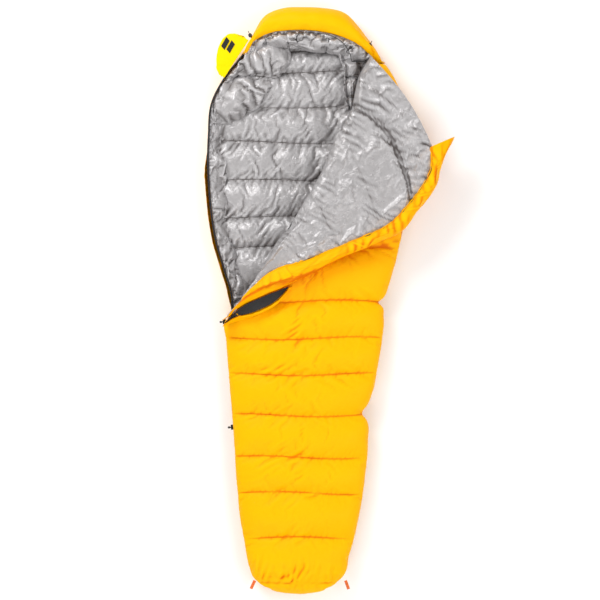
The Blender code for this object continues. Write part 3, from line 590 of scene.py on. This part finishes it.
def flap_lining():
    rows = 172
    t = np.linspace(0.0, 1.0, rows)
    a = curve(FOLD_EDGE, rows)
    b = curve(BAND_BORDER, rows)
    across = a - b
    width = np.maximum(np.linalg.norm(across, axis=1), 1e-6)
    way = across / width[:, None]
    top = flap_height(t)
    reach = np.minimum(1.0, width / 0.12)
    low = 0.082 + 0.018 * ease(0.0, 0.3, t)
    section = []
    for back, lift in ((1.02, -0.008), (0.95, -0.001), (0.80, 0.004), (0.60, 0.005), (0.35, 0.004),
                       (0.14, 0.000)):
        section.append(lifted(a - way * (width * back)[:, None], top + lift))
    for back, level in ((0.020, 0.92), (0.004, 0.74), (0.000, 0.54), (0.006, 0.27), (0.030, 0.06),
                        (0.080, 0.00)):
        inset = np.minimum(back * reach, 0.1 * width + back * 0.2)
        z = low + (top - low) * level
        section.append(lifted(a - way * inset[:, None], z))
    section = np.stack(section, 1)
    points = np.stack([curve(row, 112) for row in section])
    u = np.linspace(0.0, 1.0, 112)[None, :]
    bow = 0.020 * ease(0.80, 1.0, t)[:, None] * np.sin(np.pi * np.clip(u / 0.75, 0.0, 1.0))
    points[..., 0] += 0.84 * bow
    points[..., 1] += 0.54 * bow
    strong = (sum(near_line(points, line, 0.0060) for line in FLAP_SEAMS) * 1.5).clip(0, 1)
    faint = sum(near_line(points, line, 0.006) for line in FAINT_SEAMS).clip(0, 1)
    beside = sum(near_line(points, line, 0.050) for line in FLAP_SEAMS + FAINT_SEAMS).clip(0, 1)
    edges = np.maximum(1 - ease(0.0, 0.16, u), ease(0.42, 0.62, u) * (1 - ease(0.75, 0.9, u)))
    upper = points[..., 2] > 0.16
    points[..., 2] += wave(points, 0.10, 0.005, 5.0)
    points[..., 2] += puckers(points, np.maximum(edges, beside * 0.7) * upper, 0.008, 0.015, 150.0, 3.5)
    points[..., 2] += puckers(points, upper * 1.0, 0.0025, 0.030, 75.0, 4.5)
    pins = border(points.shape[:2])
    pins[(strong > 0.45) & upper] = 1.0
    points[..., 2] -= np.where(upper, 0.008 * strong, 0.0)
    # dark: painted shade in the seam grooves, strong seams deep and faint seams light; faint seams show
    # only through this painted shade and the puckers beside them
    obj = quilt("flap_lining_cloth", points, pins, LINING, 1.8, 0.022, frames=14, limit=0.012,
                dark=np.where(upper, strong * 0.95 + faint * 0.22, 0.0),
                part_at=(LINING_LOW_Z, LINING_HIGH_Z))
    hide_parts("flap_lining", "flap_down_01", "flap_down_02", "flap_down_03")
    return obj


def flap_shell():
    rows = 150
    t = np.linspace(0.0, 1.0, rows)
    a, b, c = curve(FOLD_EDGE, rows), curve(BAND_BORDER, rows), curve(BAND_OUTER, rows)
    top = flap_height(t) + 0.003
    under = 0.1575 - 0.040 * (1 - ease(0.0, 0.05, t))
    out = (c - b) / np.maximum(np.linalg.norm(c - b, axis=1, keepdims=True), 1e-6)
    inward = (b - a) / np.maximum(np.linalg.norm(b - a, axis=1, keepdims=True), 1e-6)
    fold = a + inward * np.minimum(0.014, 0.3 * np.linalg.norm(b - a, axis=1))[:, None]
    section = [lifted(b - out * 0.010, top - 0.012),
               lifted(b - out * 0.004, top + 0.004),
               lifted(b * 0.72 + c * 0.28, top + 0.015),
               lifted(b * 0.40 + c * 0.60, top + 0.016),
               lifted(b * 0.12 + c * 0.88, top + 0.005),
               lifted(c, (top + under) / 2),
               lifted(c - out * 0.010, under + 0.002),
               lifted(b, under)]
    for share in (0.35, 0.7, 1.0):
        z = under * (1 - share) + FOLD_HIGH_Z * share
        section.append(lifted(b * (1 - share) + fold * share, z))
    section = np.stack(section, 1)
    at = np.concatenate([np.linspace(0.0, 0.34, 28), np.linspace(0.34, 1.0, 26)[1:]])
    points = np.stack([curve(row, at=at) for row in section])
    u = np.arange(points.shape[1])[None, :]
    points[..., 2] += puckers(points, ((u > 1) & (u < 22)) * 1.0, 0.0045, 0.020, 95.0, 9.5)
    pins = border(points.shape[:2])
    for share in (0.27, 0.52, 0.74, 0.80):
        bend = int(rows * share)
        pins[bend, 5:20] = 0.4
        points[bend, 5:20, 2] -= 0.003
    # painted shade on the band's outer side, where its roll turns under, and none on the underside beyond
    shade = np.repeat(0.65 * ease(18.0, 24.0, u) * (1 - ease(25.0, 30.0, u)), rows, 0)
    obj = quilt("flap_shell_cloth", points[:, ::-1], pins[:, ::-1], SHELL, 1.8, 0.014, limit=0.007,
                frames=12, dark=shade[:, ::-1])
    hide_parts("flap_shell")
    return obj


def fold_cloth():
    """Shell cloth that joins the flap to the part beside the fold, folded flat at rest."""
    rows = 130
    t = np.linspace(0.03, 1.0, rows)
    a = curve(FOLD_EDGE, at=t)
    to_band = curve(BAND_BORDER, at=t) - a
    inward = to_band / np.linalg.norm(to_band, axis=1, keepdims=True)
    strip = []
    for reach, z in ((0.040, FOLD_LOW_Z - 0.001), (0.014, FOLD_LOW_Z),
                     (0.014, FOLD_HIGH_Z), (0.040, FOLD_HIGH_Z + 0.001)):
        strip.append(lifted(a + inward * reach, np.full(rows, z)))
    points = np.stack(strip, 1)[:, ::-1]
    obj = grid_mesh("fold_cloth", points)
    obj.data.materials.append(SHELL)
    obj.data.shade_smooth()
    paint_crease_shade_and_crown_light(obj, points.shape[:2], 0.0, reach=0.1)
    return obj


# ---------------------------------------------------------------- zip on the opened edges
TAPE_UPPER = ((-0.291, -0.082), (-0.231, -0.028), (-0.146, 0.013), (-0.060, 0.048))
TAPE_LOWER = ((-0.291, -0.086), (-0.262, -0.0665), (-0.184, -0.043), (-0.106, -0.004), (-0.056, 0.046))
LIP_OUTER = ((-0.300, -0.098), (-0.262, -0.084), (-0.184, -0.060), (-0.106, -0.018), (-0.044, 0.046))
TAPE_THICKNESS = 0.0007
COIL_TURN = 2.1     # radians from one point of a coil to the next


def tape_strip(name, points):
    """Flat woven tape with a thickness."""
    obj = grid_mesh(name, points)
    obj.data.materials.append(TAPE)
    obj.data.shade_smooth()
    solid = obj.modifiers.new("Solidify", "SOLIDIFY")
    solid.thickness, solid.offset = TAPE_THICKNESS, 0.0
    return obj


def flap_tape():
    """Zip tape turned up where the flap's edge starts, its run tucked under the band, and the coil."""
    upper, lower = curve(TAPE_UPPER, 60), curve(TAPE_LOWER, 60)
    share = np.linspace(0.0, 1.0, 60)
    level = 0.152 + 0.018 * ease(0.0, 0.45, share)
    points = ruled(lifted(upper, level + 0.005), lifted(lower, level - 0.004), 12)
    points[..., 2] += wave(points, 0.03, 0.003, 7.0) - 0.006 * np.sin(np.pi * np.linspace(0, 1, 12))
    tape = quilt("zip_tape_flap_cloth", points[:, ::-1], border(points.shape[:2]), TAPE, 0.2, 0.002,
                 frames=4, limit=0.001)
    t = np.linspace(0.06, 0.985, 1000)
    edge, beyond = curve(BAND_BORDER, at=t), curve(BAND_OUTER, at=t)
    out = (beyond - edge) / np.linalg.norm(beyond - edge, axis=1, keepdims=True)
    tucked = flap_height(t) - 0.0055
    points = ruled(lifted(edge + out * 0.010, tucked)[::8], lifted(edge - out * 0.004, tucked)[::8], 4)
    run = tape_strip("zip_tape_flap_run", points)
    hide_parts("zip_tape_flap")
    turn = np.arange(len(t)) * COIL_TURN
    shown = ease(0.50, 0.62, t)
    coil_path = np.stack([edge[:, 0] + 0.0016 * np.cos(turn), edge[:, 1] + 0.0016 * np.sin(turn),
                          tucked + 0.003 + 0.011 * shown + 0.0014 * np.sin(turn)], -1)
    coil = tube("zip_coil_flap_teeth", coil_path, 0.0010, COIL)
    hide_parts("zip_coil_flap")
    return tape, run, coil


def lip():
    """Narrow roll of shell beside the turned-up tape."""
    inner, outer = curve(TAPE_LOWER, 70), curve(LIP_OUTER, 70)
    share = np.linspace(0.0, 1.0, 70)
    level = (0.138 + 0.018 * ease(0.0, 0.5, share))[:, None]
    u = np.linspace(0.0, 1.0, 14)[None, :]
    points = ruled(lifted(inner, level[:, 0]), lifted(outer, level[:, 0]), 14)
    points[..., 2] += 0.012 * np.sin(np.pi * u) ** 0.7 - 0.018 * u ** 4
    points[..., 2] += puckers(points, np.sin(np.pi * u), 0.005, 0.016, 35.0, 4.5)
    return quilt("zip_lip_cloth", points[:, ::-1], border(points.shape[:2]), SHELL, 1.2, 0.02, frames=8,
                 limit=0.004)


def tube(name, path, radius, material):
    """Round thread of the given radius along a path."""
    data = bpy.data.curves.new(name, "CURVE")
    data.dimensions = "3D"
    data.bevel_depth = radius
    data.bevel_resolution = 1
    data.use_fill_caps = True
    spline = data.splines.new("POLY")
    spline.points.add(len(path) - 1)
    for point, place in zip(spline.points, path):
        point.co = (*place, 1.0)
    obj = bpy.data.objects.new(name, data)
    SCENE.collection.objects.link(obj)
    obj.data.materials.append(material)
    return obj


def edge_zip():
    """Tape and coil along the bag's own edge: on end where the zip is shut, turned in where it is open."""
    ys = np.concatenate([np.linspace(-0.720, -0.090, 60), np.linspace(-0.080, 0.955, 150)])
    x = along_y(LEFT, ys) + 0.0010
    z = zip_z(ys)
    flat = ease(-0.09, -0.02, ys)
    outer = np.stack([x - 0.002 * flat, ys, z - 0.0022 + 0.003 * flat], -1)
    inner = np.stack([x + 0.0045 * flat, ys, z - 0.0152 + 0.019 * flat], -1)
    points = ruled(outer, inner, 6)
    tape = tape_strip("zip_tape_back_cloth", points)
    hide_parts("zip_tape_back")
    y = np.linspace(-0.720, 0.955, 1900)
    turn = np.arange(len(y)) * COIL_TURN
    x = along_y(LEFT, y) - 0.0008 + 0.0020 * ease(-0.09, -0.02, y)
    path = np.stack([x + 0.0013 * np.cos(turn), y, zip_z(y) - 0.0012 + 0.003 * ease(-0.09, -0.02, y)
                     + 0.0013 * np.sin(turn)], -1)
    coil = tube("zip_coil_back_teeth", path, 0.0009, COIL)
    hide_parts("zip_coil_back")
    return tape, coil


# ---------------------------------------------------------------- hood
HOOD_OUTER = ((-0.232, 0.905), (-0.191, 0.957), (-0.133, 1.045), (-0.070, 1.068), (0.000, 1.070),
              (0.059, 1.068), (0.151, 1.047), (0.195, 1.001), (0.228, 0.957), (0.268, 0.908),
              (0.300, 0.878))
HOOD_INNER = ((-0.214, 0.905), (-0.180, 0.949), (-0.144, 0.968), (-0.070, 0.979), (-0.024, 0.981),
              (0.022, 0.979), (0.114, 0.964), (0.188, 0.935), (0.228, 0.909), (0.250, 0.892),
              (0.272, 0.872))


def hood_height(t):
    return 0.090 + 0.066 * np.sin(np.pi * np.clip(t, 0, 1)) ** 0.7


def hood_shell():
    t = np.linspace(0.0, 1.0, 120)
    outer, inner = curve(HOOD_OUTER, at=t), curve(HOOD_INNER, at=t)
    k = hood_height(t)
    deep = (inner - outer)
    unit = deep / np.linalg.norm(deep, axis=1, keepdims=True)
    inset = np.minimum(0.026, 0.4 * np.linalg.norm(deep, axis=1))[:, None]
    section = [lifted(outer + unit * inset, 0.004 + 0 * k),
               lifted(outer + unit * 0.004, 0.030 + 0 * k),
               lifted(outer - unit * 0.002, 0.50 * k),
               lifted(outer + unit * 0.008, 0.78 * k),
               lifted(outer + deep * 0.40, k),
               lifted(outer + deep * 0.78, 0.985 * k),
               lifted(inner, 0.88 * k),
               lifted(inner - unit * 0.012, 0.78 * k)]
    section = np.stack(section, 1)
    points = np.stack([curve(row, 40) for row in section]).transpose(1, 0, 2)
    points[..., 2] += wave(points, 0.05, 0.003, 6.0)
    pins = border(points.shape[:2])
    obj = quilt("hood_shell_cloth", points[:, ::-1], pins[:, ::-1], SHELL, 2.4, 0.05,
                limit=0.010, floor=0.0004)
    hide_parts("hood_shell", "hood_down_left", "hood_down_right")
    return obj


def hood_gathers():
    """Grey lining drawn in by the cord, under the brim's inner edge and down inside the hood."""
    t = np.linspace(0.03, 0.93, 130)
    inner, outer = curve(HOOD_INNER, at=t), curve(HOOD_OUTER, at=t)
    k = hood_height(t)
    unit = inner - outer
    unit /= np.linalg.norm(unit, axis=1, keepdims=True)
    deep = 0.052 * np.sin(np.pi * np.clip(t, 0.0, 1.0)).clip(0.05) ** 0.5
    section = [lifted(inner - unit * 0.010, 0.80 * k),
               lifted(inner + unit * 0.006, 0.80 * k),
               lifted(inner + unit * (deep * 0.55)[:, None], 0.76 * k),
               lifted(inner + unit * (deep * 0.95)[:, None], 0.60 * k),
               lifted(inner + unit * deep[:, None], 0.048 + 0 * k),
               lifted(inner + unit * (deep * 0.8)[:, None], 0.040 + 0 * k)]
    section = np.stack(section, 1)
    points = np.stack([curve(row, 26) for row in section]).transpose(1, 0, 2)
    points[..., 2] += wave(points, 0.025, 0.008, 2.0)
    pins = border(points.shape[:2])
    for share in (0.16, 0.33, 0.40, 0.66, 0.83):
        column = int(130 * share)
        pins[4:, column] = 1.0
        points[4:20, column, 2] -= 0.016
    obj = quilt("hood_lining_cloth", points[:, ::-1], pins[:, ::-1], LINING, 3.0, 0.16,
                limit=0.016, frames=16)
    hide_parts("hood_lining")
    return obj


# ---------------------------------------------------------------- collars and draft strip
def lobes(name, seams, left, right, height, node, bow, seed):
    """Stuffed chambers one above the other between two side lines (y, x)."""
    ys, held = rows_through(seams, lambda y: 0.0045)
    x0, x1 = along_y(left, ys), along_y(right, ys)
    u = np.linspace(0.0, 1.0, 50)[None, :]
    x = x0[:, None] * (1 - u) + x1[:, None] * u
    y = np.repeat(ys[:, None], 50, 1) + bow * (u - u * u) * 4
    edge = np.sin(np.pi * u) ** 0.5
    z = 0.046 + (zip_z(y) - 0.056) * (1 - ease(0.0, 0.2, u)) + (
        height * crown(ys, seams)[:, None] ** 0.7 + 0.012) * edge
    points = np.stack([x, y, z], -1)
    points[..., 2] += wave(points, 0.03, 0.005, seed)
    obj = quilt(name, points, border(points.shape[:2], held), LINING, 2.8, 0.13, frames=16, limit=0.016)
    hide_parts(node)
    return obj


def draft_strip():
    """Lining tube along the zip, drawn up in lengthwise wrinkles."""
    ys = np.linspace(-0.050, 0.740, 150)
    left = along_y(LEFT, ys) + 0.006
    u = np.linspace(0.0, 1.0, 22)[None, :]
    wide = (0.052 + 0.012 * np.sin(ys * 17.0) + 0.006 * np.sin(ys * 41.0))[:, None]
    x = left[:, None] + wide * u
    y = np.repeat(ys[:, None], 22, 1)
    z = zip_z(y) * (1 - u) + 0.050 * u + 0.012 * np.sin(np.pi * u) - 0.004
    points = np.stack([x, y, z], -1)
    points[..., 2] += wave(points * np.array([1.0, 0.25, 1.0]), 0.016, 0.007, 4.0)
    pins = border(points.shape[:2])
    obj = quilt("draft_tube_cloth", points, pins, LINING, 1.8, 0.12, frames=14, limit=0.012)
    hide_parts("draft_tube")
    return obj


# ---------------------------------------------------------------- tab over the zip
TAB_REACH = ((-0.07, 0.0), (-0.04, 0.014), (0.12, 0.038), (0.36, 0.058), (0.62, 0.068), (0.84, 0.066),
             (0.99, 0.051), (1.06, 0.028), (1.08, 0.010))


def tab():
    """Stiff double cloth with a rounded outline, sewn in behind the zip."""
    base, end = Vector((-0.300, 0.835, 0.0)), Vector((-0.222, 0.955, 0.0))
    along = end - base
    out = Vector((-along.y, along.x, 0.0)).normalized()
    rows, columns = 44, 26
    shares = TAB_REACH[0][0] + (TAB_REACH[-1][0] - TAB_REACH[0][0]) * (
        1 - np.cos(np.linspace(0.0, np.pi, rows))) / 2
    reaches = along_y(TAB_REACH, shares)
    points = np.zeros((rows, columns, 3))
    for i, (s, reach) in enumerate(zip(shares, reaches)):
        for j, u in enumerate(np.linspace(0.0, 1.0, columns)):
            p = base + along * s + out * (-0.014 + (0.014 + reach) * u)
            points[i, j] = (p.x, p.y, 0.0990 + 0.0014 * math.sin(math.pi * u))
    obj = quilt("zip_tab_cloth", points[:, ::-1], border((rows, columns)), TAB_CLOTH, 0.6, 0.012,
                frames=8, limit=0.0010)
    solid = obj.modifiers.new("Solidify", "SOLIDIFY")
    solid.thickness, solid.offset = 0.0036, -1.0
    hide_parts("zip_tab")
    return obj


# ---------------------------------------------------------------- put together
def carried_over():
    """CAD pieces whose shape is right keep it and take a finished material."""
    looks = {"zip_tape": TAPE, "zip_coil": COIL, "main_slider": METAL, "lower_slider": METAL,
             "main_pull": PLASTIC, "lower_pull": PLASTIC, "tab_hook": PILE, "tab_loop": PILE,
             "hood_drawcord": CORD, "cord_lock": PLASTIC, "foot_loop": LOOP}
    for name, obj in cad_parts.items():
        for start, material in looks.items():
            if name.startswith(start):
                for place in obj.material_slots:
                    place.material = material


def build():
    lining, shell = "lining_fabric", "shell_fabric"
    pieces = ((back_lining(), lining, "root", 0.8), (back_shell(), shell, "root", 0.7),
              (front_shell(), shell, "root", 0.8), (hood_shell(), shell, "root", 0.8),
              (hood_gathers(), lining, "root", 0.6), (draft_strip(), lining, "root", 0.4),
              (lobes("collar_left_cloth", (0.640, 0.818, 0.945),
                     ((0.640, -0.330), (0.736, -0.322), (0.824, -0.280), (0.913, -0.212), (0.945, -0.190)),
                     ((0.640, -0.262), (0.681, -0.215), (0.718, -0.166), (0.773, -0.116),
                      (0.828, -0.090), (0.870, -0.056), (0.913, -0.052), (0.945, -0.070)),
                     0.040, "draft_collar_left", 0.010, 11.0), lining, "root", 0.7),
              (lobes("collar_right_cloth", (0.700, 0.748, 0.824, 0.883, 0.950),
                     ((0.700, 0.163), (0.780, 0.150), (0.850, 0.146), (0.895, 0.130), (0.950, 0.110)),
                     ((0.700, 0.190), (0.780, 0.196), (0.830, 0.208), (0.883, 0.222), (0.950, 0.215)),
                     0.026, "draft_collar_right", 0.0, 12.0), lining, "root", 0.7),
              (flap_shell(), shell, "front_flap", 0.7), (lip(), shell, "front_flap", 0.6),
              (tab(), "tab_fabric", "zip_tab", 0.3))
    for obj, slot, body, fill in pieces:
        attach(obj, body)
    turned = flap_lining()
    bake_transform(turned)
    joined = fold_cloth()
    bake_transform(joined)
    for (*tapes, coil), body in ((flap_tape(), "front_flap"), (edge_zip(), "root")):
        for tape in tapes:
            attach(tape, body)
        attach(coil, body)
    carried_over()


stage()
build()
